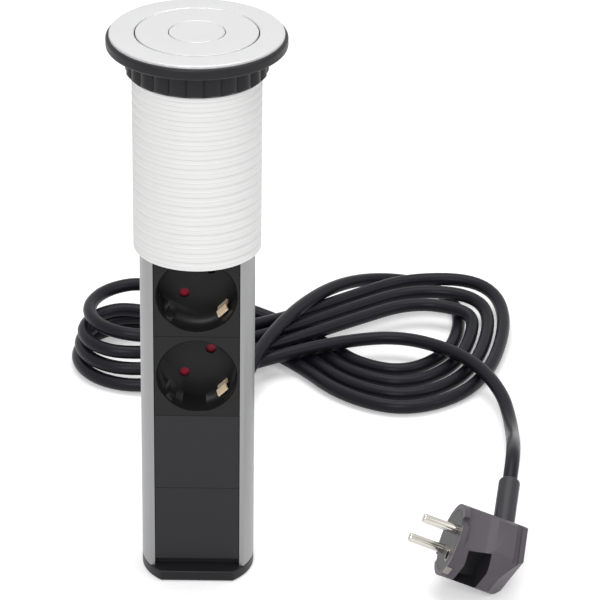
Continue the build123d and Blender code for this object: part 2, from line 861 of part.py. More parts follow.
def plug_shell():
    """Moulded body: a round rim, flat grips, a pull ridge behind them, and a hollowed front."""
    with BuildPart(mode=Mode.PRIVATE) as shell:
        # Seen from the cord's side
        with BuildSketch(Plane.YZ):
            with BuildLine():
                edge = [
                    (grip_half, -plug_rim / 2),
                    (grip_half, -ridge_start),
                    (ridge_half, -ridge_full),
                    (ridge_half, -ridge_end),
                    (ridge_half - slot_depth, -ridge_end),
                    (ridge_half - slot_depth, -ridge_end - slot_width),
                    (ridge_half - slot_depth / 2, -ridge_end - slot_width),
                    (grip_half, -plug_depth),
                ]
                Polyline(*edge, *[(-y, z) for y, z in reversed(edge)], close=True)
            make_face()
        extrude(amount=side_half, both=True)
        # Seen from above
        with BuildSketch(Plane.XZ):
            with BuildLine():
                Polyline(
                    (side_half, 0),
                    (side_half, corner_cut - plug_depth),
                    (side_half - corner_cut, -plug_depth),
                    (corner_cut / 2 - side_half, -plug_depth),
                    (-side_half, corner_cut / 2 - plug_depth),
                    (-side_half, 0),
                    close=True,
                )
            make_face()
        extrude(amount=ridge_half, both=True, mode=Mode.INTERSECT)
        with BuildSketch(Plane.XY):
            Circle(plug_r)
        extrude(amount=-plug_depth, mode=Mode.INTERSECT)
        with BuildSketch(Plane.XY):
            Circle(plug_r)
        extrude(amount=-plug_rim)
        # Hollow in the near side, deeper towards the ridge
        lean = Rotation(0, hollow_lean, 0)
        with BuildSketch(Plane.XY.offset(-plug_rim) * lean):
            with Locations((hollow_out, ridge_half - grip_half)):
                Circle(hollow_r)
            with Locations((0, -hollow_rim)):
                Rectangle(4 * hollow_out, plug_depth, align=(Align.CENTER, Align.MAX), mode=Mode.SUBTRACT)
        extrude(amount=plug_rim - ridge_start, mode=Mode.SUBTRACT)
        # Grooves for a socket's guide ribs, in line with the pins
        with BuildSketch(Plane.XY):
            with Locations((0, plug_r), (0, -plug_r)):
                Rectangle(groove_width, 2 * groove_depth)
        extrude(amount=-ridge_start, mode=Mode.SUBTRACT)
        # Slot along the near side, under the hollow
        with BuildSketch(Plane.XY.offset(-plug_rim / 2)):
            with Locations((plug_r, -slot_level)):
                Rectangle(2 * slot_reach, slot_width)
        extrude(amount=-slot_length, mode=Mode.SUBTRACT)
        # Recess for the face insert, bores for the pins and for the earth sleeve
        with BuildSketch(Plane.XY):
            Circle(insert_r + bore_gap)
        extrude(amount=-insert_thick, mode=Mode.SUBTRACT)
        with BuildSketch(Plane.XY):
            with Locations((0, pin_gauge / 2), (0, -pin_gauge / 2)):
                Circle(pin_r + bore_gap)
        extrude(amount=-pin_root - bore_gap, mode=Mode.SUBTRACT)
        with BuildSketch(Plane.XY):
            with Locations((earth_offset, 0)):
                Circle(earth_bore + earth_wall + bore_gap)
        extrude(amount=-pin_root, mode=Mode.SUBTRACT)
        # Seats for the side earth contacts, and the bore for the cord's sleeve
        with BuildSketch(Plane.XY):
            with Locations((plug_r, 0), (-plug_r, 0)):
                Rectangle(2 * earth_wall + 2 * bore_gap, earth_width + 2 * bore_gap)
        extrude(amount=-earth_length, mode=Mode.SUBTRACT)
        with BuildSketch(Plane.YZ.offset(-sleeve_root)):
            with Locations((0, -sleeve_axis)):
                Circle(sleeve_r + bore_gap)
        extrude(amount=-plug_r, mode=Mode.SUBTRACT)
    return shell.part


def face_insert():
    """Round insert that carries the pins and the earth sleeve."""
    with BuildPart(mode=Mode.PRIVATE) as insert:
        with BuildSketch(Plane.XY):
            Circle(insert_r)
            with Locations((0, pin_gauge / 2), (0, -pin_gauge / 2)):
                Circle(pin_r + bore_gap, mode=Mode.SUBTRACT)
            with Locations((earth_offset, 0)):
                Circle(earth_bore + earth_wall + bore_gap, mode=Mode.SUBTRACT)
        extrude(amount=-insert_thick)
    return insert.part


def pins():
    """Two round-ended pins."""
    with BuildPart(mode=Mode.PRIVATE) as pair:
        with BuildSketch(Plane.XY.offset(-pin_root)):
            with Locations((0, pin_gauge / 2), (0, -pin_gauge / 2)):
                Circle(pin_r)
        extrude(amount=pin_root + pin_length)
        fillet(pair.faces().group_by(Axis.Z)[-1].edges(), radius=pin_r / 2)
    return pair.part


def plug_contacts():
    """Earth sleeve in the face, and an earth strip on each side."""
    with BuildPart(mode=Mode.PRIVATE) as contacts:
        with BuildSketch(Plane.XY.offset(bore_gap)):
            with Locations((earth_offset, 0)):
                Circle(earth_bore + earth_wall)
                Circle(earth_bore, mode=Mode.SUBTRACT)
        extrude(amount=-pin_root)
        with BuildSketch(Plane.XY.offset(-bore_gap)):
            with Locations((plug_r - earth_wall / 2, 0), (earth_wall / 2 - plug_r, 0)):
                Rectangle(earth_wall, earth_width)
        extrude(amount=2 * bore_gap - earth_length)
    return contacts.part


def sleeve():
    """Sleeve round the cord, with a round end."""
    with BuildPart(mode=Mode.PRIVATE) as tube:
        with BuildSketch(Plane.YZ.offset(-sleeve_root)):
            with Locations((0, -sleeve_axis)):
                Circle(sleeve_r)
        extrude(amount=sleeve_root - sleeve_end)
        fillet(tube.faces().sort_by(Axis.X)[0].edges(), radius=sleeve_round)
    return tube.part


# The plug rests on the floor: its height follows from its own lowest point
shell = plug_shell()
tilted = Plane((plug_x, plug_y, 0), x_dir=-cord_ahead, z_dir=pins_ahead)
plug_z = -(tilted.location * shell).bounding_box().min.Z
plug_frame = Plane((plug_x, plug_y, plug_z), x_dir=-cord_ahead, z_dir=pins_ahead)
print(f"plug face centre {plug_z:.2f} above the floor")

for name, solid in (
    ("plug_body", shell),
    ("plug_face", face_insert()),
    ("plug_pins", pins()),
    ("plug_earth", plug_contacts()),
    ("plug_sleeve", sleeve()),
):
    with BuildPart() as piece:
        with Locations(plug_frame.location):
            add(solid)
    save(piece, name)

# Cord: a lead from the relief, a hank of loops laid by hand, and a tail to the plug
cord_layer = 8.2  # from one layer of the hank to the next
cord_over = 0.5  # extra room where one set of strands crosses another
hank_loops = 4
hank_start = [
    (9, 118, 4.4),
    (13.5, 141, 4.4),
    (20.5, 171, 13.5),
    (32, 203, 21.6),
    (52, 249, 21.6),
    (76, 287, 17.3),
    (102, 312, 8.5),
    (131, 312, 4.4),
    (147, 284, 4.4),
]
hank_end = [
    (80, 223, 12.3),
    (110, 228, 12.6),
    (137, 214, 13),
    (156, 191, 13),
    (167, 165, 10),
    (170.2, 142, 6),
    (170, 120, 9.4),
]
# Right-hand turns: place of the innermost strand, and the step to the next one out
over_turn = [((118, 255), (0, 16)), ((141.5, 244), (7.5, 19))]
under_turn = [
    ((137, 221), (7, -12)),
    ((113, 199), (1, -15.5)),
    ((86, 209), (-3.2, -13)),
    ((69, 233), (-6.5, -7.5)),
]
turn_side = ((146, 250), (10, 3))
under_out = ((28, 268), (-5.3, -9))
over_in = [((3, 212), (0, -9)), ((47, 250), (0, -14.7)), ((82, 277), (0, -15.5))]
left_back = (263, -5.7)  # back of a left-hand loop, and its step
left_front = (192, -5)
left_side = (-72, -2.2)
loop_points = 5


def spot(place, step, count, height):
    """A point of the hank, some steps out from its first place."""
    return (place[0] + step[0] * count, place[1] + step[1] * count, height)


def hank_route():
    """Points of the hank from the lead to the tail, loop by loop from the top layer down."""
    over = cord_rest + cord_layer + cord_over
    points = list(hank_start)
    for loop in range(hank_loops):
        turn = (hank_loops - loop) % hank_loops
        level = cord_rest + cord_layer * (hank_loops - 1 - loop)
        if loop:
            points += [spot(*over_turn[0], turn, over), spot(*over_turn[1], turn, over)]
        side_level = cord_rest + (cord_layer / 2 if loop else 0)
        points.append(spot(*turn_side, turn, side_level))
        points += [spot(*place, turn, cord_rest) for place in under_turn]
        points.append(spot(*under_out, turn, cord_rest + (level - cord_rest) / 8))
        back = left_back[0] + left_back[1] * turn
        front = left_front[0] + left_front[1] * loop
        radius = (back - front) / 2
        centre = (left_side[0] + left_side[1] * loop + radius, (back + front) / 2)
        for n in range(loop_points):
            angle = math.pi / 2 + math.pi * n / (loop_points - 1)
            x = centre[0] + radius * math.cos(angle)
            y = centre[1] + radius * math.sin(angle)
            points.append((x, y, level))
        points.append(spot(*over_in[0], loop, (level + over) / 2 + cord_over))
        points.append(spot(*over_in[1], loop, over))
        if loop < hank_loops - 1:
            points.append(spot(*over_in[2], loop, over))
    return [Vector(*point) for point in points + hank_end]


def headings(points):
    """Direction at each point, along the circle through it and its neighbours."""
    along = [(b - a).normalized() for a, b in zip(points, points[1:])]
    found = [along[0]]
    for before, here, after in zip(points, points[1:], points[2:]):
        back, on = here - before, after - here
        found.append((back * (on.length / back.length) + on * (back.length / on.length)).normalized())
    return found + [along[-1]]


def halfway(start, heading, end, arrival):
    """Joint of the two arcs that leave one point and reach the next, and the direction there."""
    span = end - start
    turn = 2 * (1 - heading.dot(arrival))
    reach = span.dot(heading + arrival)
    if turn < straight_enough:
        size = span.dot(span) / (4 * span.dot(arrival))
    else:
        size = (math.sqrt(reach**2 + turn * span.dot(span)) - reach) / turn
    joint = (start + end + (heading - arrival) * size) / 2
    return joint, ((end - arrival * size) - (start + heading * size)).normalized()


def arcs(points):
    """Arcs through all the points, as (start, heading, end)."""
    found = []
    ways = headings(points)
    for n in range(len(points) - 1):
        joint, way = halfway(points[n], ways[n], points[n + 1], ways[n + 1])
        found.append((points[n], ways[n], joint))
        found.append((joint, way, points[n + 1]))
    return found


def bend(start, heading, end):
    """Angle that an arc turns through, and its radius."""
    chord = end - start
    angle = 2 * math.acos(max(-1, min(1, heading.dot(chord.normalized()))))
    if angle < straight_enough:
        return 0, math.inf
    return angle, chord.length / 2 / math.sin(angle / 2)


def along_route(curves):
    """Points about one wire radius apart on the arcs, each with its distance along them."""
    found = []
    done = 0
    for start, heading, end in curves:
        chord = end - start
        angle, radius = bend(start, heading, end)
        length = radius * angle if angle else chord.length
        steps = math.ceil(length / cord_r)
        inward = (chord - heading * chord.dot(heading)).normalized() if angle else Vector(0, 0, 0)
        for n in range(steps):
            share = n / steps
            if angle:
                turned = angle * share
                place = start + heading * (radius * math.sin(turned))
                place += inward * (radius * (1 - math.cos(turned)))
            else:
                place = start + chord * share
            found.append((place, done + length * share))
        done += length
    return found, done


def least_gap(places):
    """Least distance between two stretches of the tube's surface."""
    near = 2 * math.pi * cord_r * 2
    least = math.inf
    for n, (place, at) in enumerate(places):
        for other, further in places[n + 1:]:
            if further - at > near:
                least = min(least, (other - place).length)
    return least - 2 * cord_r


straight_enough = 1e-6
hank_points = hank_route()
hank_from = hank_points[0] - (hank_points[1] - hank_points[0]).normalized() * 2 * cord_r
hank_to = hank_points[-1] + (hank_points[-1] - hank_points[-2]).normalized() * 2 * cord_r
curves = arcs(hank_points)
places, hank_length = along_route(curves)
hank_length += 4 * cord_r
tightest = min(bend(*curve)[1] for curve in curves)
print(f"hank: {hank_length:.0f} long, tightest radius {tightest:.1f}, least gap {least_gap(places):.2f}")

with BuildPart() as cord_hank:
    with BuildLine() as hank_line:
        Line(hank_from, hank_points[0])
        for start, heading, end in curves:
            if bend(start, heading, end)[0]:
                TangentArc(start, end, tangent=heading)
            else:
                Line(start, end)
        Line(hank_points[-1], hank_to)
    with BuildSketch(Plane(origin=hank_from, z_dir=hank_points[1] - hank_points[0])):
        Circle(cord_r)
    sweep(path=hank_line.wire())
save(cord_hank, "cord_hank")
expected = math.pi * cord_r**2 * hank_length
print(f"hank volume {cord_hank.part.volume / expected:.3f} of section times length")


def free_cord(points, name):
    """A free stretch of cord: straight runs joined by arcs that are tangent to both."""
    runs = [b - a for a, b in zip(points, points[1:])]
    radii = []
    for before, after in zip(runs, runs[1:]):
        half_turn = math.radians(before.get_angle(after)) / 2
        radii.append(run_share * min(before.length, after.length) / math.tan(half_turn))
    with BuildPart() as cord:
        with BuildLine():
            path = FilletPolyline(*points, radius=radii)
        with BuildSketch(Plane(origin=path @ 0, z_dir=path % 0)):
            Circle(cord_r)
        sweep(path=path)
    expected = math.pi * cord_r**2 * path.length
    print(f"{name}: {path.length:.0f} long, radii {[round(radius) for radius in radii]}")
    print(f"{name}: volume {cord.part.volume / expected:.3f} of section times length")
    save(cord, name)


run_share = 0.45
lead_points = [
    Vector(0, relief_tip, cord_exit_height),
    Vector(0, 72, cord_exit_height),
    Vector(4.05, 92.8, cord_rest),
    hank_from,
]
free_cord(lead_points, "cord_lead")

plug_end = plug_frame.from_local_coords(Vector(-sleeve_end, 0, -sleeve_axis))
tail_run = 15.0  # straight run into the plug's sleeve
tail_points = [
    hank_to,
    Vector(168.9, 100, 16.5),
    Vector(167.6, 82, 24),
    Vector(166.5, 65, 31.5),
    Vector(165.5, 48, 38.8),
    plug_end + cord_ahead * tail_run,
    plug_end,
]
free_cord(tail_points, "cord_tail")
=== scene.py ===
"""Pull-up desk socket tower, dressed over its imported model, with its cord and plug."""

import bpy
import math
from mathutils import Matrix, Vector


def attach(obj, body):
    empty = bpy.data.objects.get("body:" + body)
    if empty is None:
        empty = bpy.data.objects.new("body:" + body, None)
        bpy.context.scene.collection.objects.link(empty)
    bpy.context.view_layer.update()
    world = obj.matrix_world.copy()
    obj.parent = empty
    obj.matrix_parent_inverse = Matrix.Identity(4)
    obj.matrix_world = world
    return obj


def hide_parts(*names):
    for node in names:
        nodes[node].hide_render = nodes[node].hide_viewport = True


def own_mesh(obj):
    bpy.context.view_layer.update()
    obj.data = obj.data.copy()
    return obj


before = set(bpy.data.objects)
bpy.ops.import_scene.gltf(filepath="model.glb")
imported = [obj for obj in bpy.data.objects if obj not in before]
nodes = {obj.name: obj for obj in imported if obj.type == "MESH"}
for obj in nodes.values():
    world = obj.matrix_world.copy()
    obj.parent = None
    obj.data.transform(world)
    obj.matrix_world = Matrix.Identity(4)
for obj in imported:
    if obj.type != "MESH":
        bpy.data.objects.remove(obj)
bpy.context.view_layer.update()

MM = 0.001
THREAD_START = 186.6 * MM  # height of the lowest groove's middle
THREAD_PITCH = 5.0 * MM
SOCKETS = 4
FLOOR_LIFT = 0.30
WORLD_LIGHT = 0.35  # the world's strength where it only lights


# Camera

CAMERA_PLACE = (0.0455, -1.4738, 0.9053)
CAMERA_AZIMUTH = math.radians(0.225)
CAMERA_ELEVATION = math.radians(27.066)
CAMERA_ROLL = math.radians(0.782)
CAMERA_LENS = 198.4


def add_camera():
    """Camera at the photograph's viewing angle."""
    data = bpy.data.cameras.new("camera")
    data.lens = CAMERA_LENS
    data.sensor_width = 36.0
    data.clip_end = 50.0
    camera = bpy.data.objects.new("camera", data)
    bpy.context.scene.collection.objects.link(camera)
    turn = Matrix.Rotation(-CAMERA_AZIMUTH, 4, "Z")
    tilt = Matrix.Rotation(math.pi / 2 - CAMERA_ELEVATION, 4, "X")
    roll = Matrix.Rotation(CAMERA_ROLL, 4, "Z")
    camera.matrix_world = Matrix.Translation(CAMERA_PLACE) @ turn @ tilt @ roll
    bpy.context.scene.camera = camera


# Effects that several materials share

def new_group(name, inputs, outputs):
    """Empty shader node group with named sockets: name, kind and default of each input."""
    group = bpy.data.node_groups.new(name, "ShaderNodeTree")
    for label, kind, value in inputs:
        socket = group.interface.new_socket(label, in_out="INPUT", socket_type=kind)
        socket.default_value = value
    for label, kind in outputs:
        group.interface.new_socket(label, in_out="OUTPUT", socket_type=kind)
    start = group.nodes.new("NodeGroupInput")
    end = group.nodes.new("NodeGroupOutput")
    return group, start, end


RELIEF_OUTPUTS = (
    ("Height", "NodeSocketFloat"),
    ("Roughness", "NodeSocketFloat"),
    ("Shade", "NodeSocketFloat"),
)


def moulded_grain():
    """Fine spark-eroded grain, with slow changes of sheen, for moulded plastic."""
    group, start, end = new_group(
        "moulded_grain",
        (
            ("Vector", "NodeSocketVector", (0.0, 0.0, 0.0)),
            ("Grain Scale", "NodeSocketFloat", 1500.0),
            ("Roughness", "NodeSocketFloat", 0.4),
            ("Change", "NodeSocketFloat", 0.08),
            ("Tone", "NodeSocketFloat", 0.06),
        ),
        RELIEF_OUTPUTS,
    )
    make, link = group.nodes.new, group.links.new
    fine = make("ShaderNodeTexNoise")
    fine.inputs["Detail"].default_value = 2.0
    link(start.outputs["Vector"], fine.inputs["Vector"])
    link(start.outputs["Grain Scale"], fine.inputs["Scale"])
    link(fine.outputs["Fac"], end.inputs["Height"])
    slow = make("ShaderNodeTexNoise")
    slow.inputs["Scale"].default_value = 45.0
    slow.inputs["Detail"].default_value = 4.0
    link(start.outputs["Vector"], slow.inputs["Vector"])
    spread = make("ShaderNodeMath")
    spread.operation = "MULTIPLY_ADD"
    link(slow.outputs["Fac"], spread.inputs[0])
    link(start.outputs["Change"], spread.inputs[1])
    link(start.outputs["Roughness"], spread.inputs[2])
    link(spread.outputs[0], end.inputs["Roughness"])
    shade = make("ShaderNodeMath")
    shade.operation = "MULTIPLY_ADD"
    shade.inputs[2].default_value = 1.0
    centred = make("ShaderNodeMath")
    centred.operation = "SUBTRACT"
    centred.inputs[1].default_value = 0.5
    link(slow.outputs["Fac"], centred.inputs[0])
    link(centred.outputs[0], shade.inputs[0])
    link(start.outputs["Tone"], shade.inputs[1])
    link(shade.outputs[0], end.inputs["Shade"])
    return group


def drawn_lines():
    """Fine parallel lines along one direction, as on extruded or brushed metal."""
    group, start, end = new_group(
        "drawn_lines",
        (
            ("Vector", "NodeSocketVector", (0.0, 0.0, 0.0)),
            ("Scale", "NodeSocketVector", (2500.0, 2500.0, 6.0)),
            ("Roughness", "NodeSocketFloat", 0.35),
            ("Change", "NodeSocketFloat", 0.12),
            ("Tone", "NodeSocketFloat", 0.08),
        ),
        RELIEF_OUTPUTS,
    )
    make, link = group.nodes.new, group.links.new
    stretch = make("ShaderNodeVectorMath")
    stretch.operation = "MULTIPLY"
    link(start.outputs["Vector"], stretch.inputs[0])
    link(start.outputs["Scale"], stretch.inputs[1])
    lines = make("ShaderNodeTexNoise")
    lines.inputs["Scale"].default_value = 1.0
    lines.inputs["Detail"].default_value = 3.0
    link(stretch.outputs[0], lines.inputs["Vector"])
    link(lines.outputs["Fac"], end.inputs["Height"])
    centred = make("ShaderNodeMath")
    centred.operation = "SUBTRACT"
    centred.inputs[1].default_value = 0.5
    link(lines.outputs["Fac"], centred.inputs[0])
    spread = make("ShaderNodeMath")
    spread.operation = "MULTIPLY_ADD"
    link(centred.outputs[0], spread.inputs[0])
    link(start.outputs["Change"], spread.inputs[1])
    link(start.outputs["Roughness"], spread.inputs[2])
    link(spread.outputs[0], end.inputs["Roughness"])
    shade = make("ShaderNodeMath")
    shade.operation = "MULTIPLY_ADD"
    shade.inputs[2].default_value = 1.0
    link(centred.outputs[0], shade.inputs[0])
    link(start.outputs["Tone"], shade.inputs[1])
    link(shade.outputs[0], end.inputs["Shade"])
    return group


# Painted shade and painted highlight across one turn of the collar's thread, from one groove's
# middle to the next: two dark lines of painted shade and one light line of painted highlight
PLAIN_TONE = 0.93
THREAD_PAINTED_TONES = (
    (0.15, PLAIN_TONE),
    (0.18, 0.74),
    (0.24, 0.74),
    (0.27, PLAIN_TONE),
    (0.69, PLAIN_TONE),
    (0.71, 0.80),
    (0.75, 0.80),
    (0.77, 1.0),
    (0.84, 1.0),
    (0.87, PLAIN_TONE),
)


def thread_painted_light():
    """Painted shade and painted highlight: thin dark and light lines where the crests of a thread
    begin and end.
    """
    group, start, end = new_group(
        "thread_painted_light",
        (
            ("Vector", "NodeSocketVector", (0.0, 0.0, 0.0)),
            ("Start", "NodeSocketFloat", 0.0),
            ("Pitch", "NodeSocketFloat", 0.005),
        ),
        (("Shade", "NodeSocketFloat"),),
    )
    make, link = group.nodes.new, group.links.new
    split = make("ShaderNodeSeparateXYZ")
    link(start.outputs["Vector"], split.inputs[0])
    above = make("ShaderNodeMath")
    above.operation = "SUBTRACT"
    link(split.outputs["Z"], above.inputs[0])
    link(start.outputs["Start"], above.inputs[1])
    turns = make("ShaderNodeMath")
    turns.operation = "DIVIDE"
    link(above.outputs[0], turns.inputs[0])
    link(start.outputs["Pitch"], turns.inputs[1])
    part = make("ShaderNodeMath")
    part.operation = "FRACT"
    link(turns.outputs[0], part.inputs[0])
    tone = make("ShaderNodeValToRGB")
    stops = tone.color_ramp.elements
    stops[0].position, stops[1].position = 0.0, 1.0
    for place, level in THREAD_PAINTED_TONES:
        stops.new(place).color = (level, level, level, 1.0)
    for stop in (stops[0], stops[-1]):
        stop.color = (PLAIN_TONE, PLAIN_TONE, PLAIN_TONE, 1.0)
    link(part.outputs[0], tone.inputs["Fac"])
    link(tone.outputs["Color"], end.inputs["Shade"])
    return group


GRAIN = moulded_grain()
LINES = drawn_lines()
THREAD_PAINTED_LIGHT = thread_painted_light()


def surface(name, group, colour, roughness, settings, bump, metallic=0.0, coat=0.0, specular=0.5):
    """Principled material whose tone, roughness and relief come from one shared effect."""
    material = bpy.data.materials.new(name)
    material.use_nodes = True
    tree = material.node_tree
    shader = tree.nodes["Principled BSDF"]
    shader.inputs["Metallic"].default_value = metallic
    shader.inputs["Coat Weight"].default_value = coat
    shader.inputs["Coat Roughness"].default_value = 0.25
    shader.inputs["Specular IOR Level"].default_value = specular
    place = tree.nodes.new("ShaderNodeTexCoord")
    effect = tree.nodes.new("ShaderNodeGroup")
    effect.node_tree = group
    effect.inputs["Roughness"].default_value = roughness
    for label, value in settings.items():
        effect.inputs[label].default_value = value
    tree.links.new(place.outputs["Object"], effect.inputs["Vector"])
    tree.links.new(effect.outputs["Roughness"], shader.inputs["Roughness"])
    tint = tree.nodes.new("ShaderNodeVectorMath")
    tint.operation = "SCALE"
    tint.inputs[0].default_value = colour
    tree.links.new(effect.outputs["Shade"], tint.inputs["Scale"])
    tree.links.new(tint.outputs[0], shader.inputs["Base Color"])
    relief = tree.nodes.new("ShaderNodeBump")
    relief.inputs["Strength"].default_value = 1.0
    relief.inputs["Distance"].default_value = bump
    tree.links.new(effect.outputs["Height"], relief.inputs["Height"])
    tree.links.new(relief.outputs["Normal"], shader.inputs["Normal"])
    return material


# Finishes

def plastic(name, colour, roughness, grain=1500.0, bump=0.00002, tone=0.08, shine=0.2):
    """Moulded plastic with its own grain and sheen."""
    settings = {"Grain Scale": grain, "Change": 0.08, "Tone": tone}
    return surface(name, GRAIN, colour, roughness, settings, bump, specular=shine)


def metal(name, colour, roughness, scale, bump=0.000004, tone=0.08, change=0.12, part=1.0):
    """Metal with fine lines drawn along one direction."""
    settings = {"Scale": scale, "Change": change, "Tone": tone}
    return surface(name, LINES, colour, roughness, settings, bump, metallic=part)


black_moulding = plastic("black_moulding", (0.015, 0.015, 0.017), 0.36)
black_panel = plastic("black_panel", (0.024, 0.024, 0.026), 0.45)
socket_black = plastic("socket_black", (0.012, 0.012, 0.013), 0.36)
grey_moulding = plastic("grey_moulding", (0.25, 0.25, 0.25), 0.45)
plug_moulding = plastic(
    "plug_moulding", (0.085, 0.074, 0.087), 0.38, grain=1100.0, bump=0.00002, tone=0.2
)
# Dark plug plastic; on the faces of the plug's hollow it is painted shade
plug_dark_and_hollow_shade = plastic("plug_dark_and_hollow_shade", (0.016, 0.015, 0.018), 0.34, grain=1100.0, bump=0.00002)
sleeve_moulding = plastic("sleeve_moulding", (0.038, 0.036, 0.041), 0.34, grain=900.0, bump=0.00001)
red_moulding = plastic("red_moulding", (0.30, 0.012, 0.035), 0.34)
cord_sheath = plastic(
    "cord_sheath", (0.008, 0.008, 0.012), 0.32, grain=500.0, bump=0.000006, shine=0.15
)
wire_sheath = plastic("wire_sheath", (0.22, 0.12, 0.05), 0.35)
anodised = metal("anodised", (0.30, 0.30, 0.304), 0.42, (2200.0, 2200.0, 5.0))
steel = metal("steel", (0.55, 0.55, 0.56), 0.30, (600.0, 600.0, 600.0))
brass = metal("brass", (1.0, 0.80, 0.56), 0.30, (300.0, 300.0, 30.0), part=0.1)
nickel = metal("nickel", (0.60, 0.57, 0.52), 0.14, (500.0, 500.0, 500.0), change=0.05, tone=0.04)
# Nickel darkened to paint shade on the plug's earth strips
nickel_painted_shade = metal("nickel_painted_shade", (0.26, 0.25, 0.23), 0.25, (500.0, 500.0, 500.0))


def turned_white():
    """White moulding with the fine turned lines of its tool, and painted shade and highlight lines
    at the edges of its thread.
    """
    settings = {"Scale": (6.0, 6.0, 700.0), "Change": 0.04, "Tone": 0.05}
    material = surface("white_moulding", LINES, (0.83, 0.83, 0.825), 0.42, settings, 0.00003)
    tree = material.node_tree
    shader = tree.nodes["Principled BSDF"]
    place = tree.nodes.new("ShaderNodeTexCoord")
    # Painted shade and painted highlight lines along the thread, multiplied into the colour
    edges = tree.nodes.new("ShaderNodeGroup")
    edges.node_tree = THREAD_PAINTED_LIGHT
    edges.inputs["Start"].default_value = THREAD_START
    edges.inputs["Pitch"].default_value = THREAD_PITCH
    tree.links.new(place.outputs["Object"], edges.inputs["Vector"])
    both = tree.nodes.new("ShaderNodeVectorMath")
    both.operation = "MULTIPLY"
    tree.links.new(shader.inputs["Base Color"].links[0].from_socket, both.inputs[0])
    tree.links.new(edges.outputs["Shade"], both.inputs[1])
    tree.links.new(both.outputs[0], shader.inputs["Base Color"])
    return material


def silver_paint():
    """Satin silver paint: metal flake under a clear coat."""
    settings = {"Grain Scale": 3500.0, "Change": 0.06, "Tone": 0.03}
    colour = (0.61, 0.61, 0.615)
    return surface(
        "silver_paint", GRAIN, colour, 0.40, settings, 0.000006, metallic=0.3, coat=0.05
    )


white_moulding = turned_white()
silver = silver_paint()


# Cord: its points are the route of the solids, in millimetres, with a rounder rise to the plug

CORD_R = 3.85
CORD_REST = 4.4
CORD_LAYER = 8.2
CORD_OVER = 0.5
HANK_LOOPS = 4
RELIEF_TIP = 52.95
CORD_EXIT = 6.0
PINS_AHEAD = Vector((-0.925, -0.010, 0.379)).normalized()
CORD_AHEAD = Vector((0.148, 0.911, 0.385))
CORD_AHEAD = (CORD_AHEAD - PINS_AHEAD * CORD_AHEAD.dot(PINS_AHEAD)).normalized()
PLUG_FACE = Vector((129.2, -27.0, 29.94))
PLUG_RIM = 3.0
HOLLOW_OUT = 31.0
HOLLOW_R = 21.0
HOLLOW_SHIFT = 2.0
HOLLOW_RIM = 9.0
HOLLOW_DEPTH = 12.0
HOLLOW_LEAN = math.radians(14.0)
HOLLOW_EDGE = 0.3
SLEEVE_AXIS = 27.5
SLEEVE_END = 49.0
TAIL_RUN = 15.0
HANK_START = [
    (9, 118, 4.4),
    (13.5, 141, 4.4),
    (20.5, 171, 13.5),
    (32, 203, 21.6),
    (52, 249, 21.6),
    (76, 287, 17.3),
    (102, 312, 8.5),
    (131, 312, 4.4),
    (147, 284, 4.4),
]
HANK_END = [
    (80, 223, 12.3),
    (110, 228, 12.6),
    (137, 214, 13),
    (156, 191, 13),
    (167, 165, 10),
    (170.2, 142, 6),
    (170, 120, 9.4),
]
OVER_TURN = [((118, 255), (0, 16)), ((141.5, 244), (7.5, 19))]
UNDER_TURN = [
    ((137, 221), (7, -12)),
    ((113, 199), (1, -15.5)),
    ((86, 209), (-3.2, -13)),
    ((69, 233), (-6.5, -7.5)),
]
TURN_SIDE = ((146, 250), (10, 3))
UNDER_OUT = ((28, 268), (-5.3, -9))
OVER_IN = [((3, 212), (0, -9)), ((47, 250), (0, -14.7)), ((82, 277), (0, -15.5))]
LEFT_BACK = (263, -5.7)
LEFT_FRONT = (192, -5)
LEFT_SIDE = (-72, -2.2)
LOOP_POINTS = 5


def spot(place, step, count, height):
    """A point of the hank, some steps out from its first place."""
    return (place[0] + step[0] * count, place[1] + step[1] * count, height)


def hank_route():
    """Points of the hank from the lead to the tail, loop by loop from the top layer down."""
    over = CORD_REST + CORD_LAYER + CORD_OVER
    points = list(HANK_START)
    for loop in range(HANK_LOOPS):
        turn = (HANK_LOOPS - loop) % HANK_LOOPS
        level = CORD_REST + CORD_LAYER * (HANK_LOOPS - 1 - loop)
        if loop:
            points += [spot(*OVER_TURN[0], turn, over), spot(*OVER_TURN[1], turn, over)]
        side_level = CORD_REST + (CORD_LAYER / 2 if loop else 0)
        points.append(spot(*TURN_SIDE, turn, side_level))
        points += [spot(*place, turn, CORD_REST) for place in UNDER_TURN]
        points.append(spot(*UNDER_OUT, turn, CORD_REST + (level - CORD_REST) / 8))
        back = LEFT_BACK[0] + LEFT_BACK[1] * turn
        front = LEFT_FRONT[0] + LEFT_FRONT[1] * loop
        radius = (back - front) / 2
        centre = (LEFT_SIDE[0] + LEFT_SIDE[1] * loop + radius, (back + front) / 2)
        for n in range(LOOP_POINTS):
            angle = math.pi / 2 + math.pi * n / (LOOP_POINTS - 1)
            x = centre[0] + radius * math.cos(angle)
            y = centre[1] + radius * math.sin(angle)
            points.append((x, y, level))
        points.append(spot(*OVER_IN[0], loop, (level + over) / 2 + CORD_OVER))
        points.append(spot(*OVER_IN[1], loop, over))
        if loop < HANK_LOOPS - 1:
            points.append(spot(*OVER_IN[2], loop, over))
    return points + HANK_END


def cord_route():
    """The whole route, from the strain relief to the plug's sleeve."""
    plug_end = PLUG_FACE - PINS_AHEAD * SLEEVE_AXIS + CORD_AHEAD * SLEEVE_END
    lead = [(0, RELIEF_TIP, CORD_EXIT), (0, 72, CORD_EXIT), (4.05, 92.8, CORD_REST)]
    tail = [
        (168.9, 100, 18.0),
        (167.6, 82, 27.0),
        (166.5, 65, 35.5),
        (165.3, 48, 41.8),
        plug_end + CORD_AHEAD * TAIL_RUN,
        plug_end,
    ]
    return [Vector(point) * MM for point in lead + hank_route() + tail]


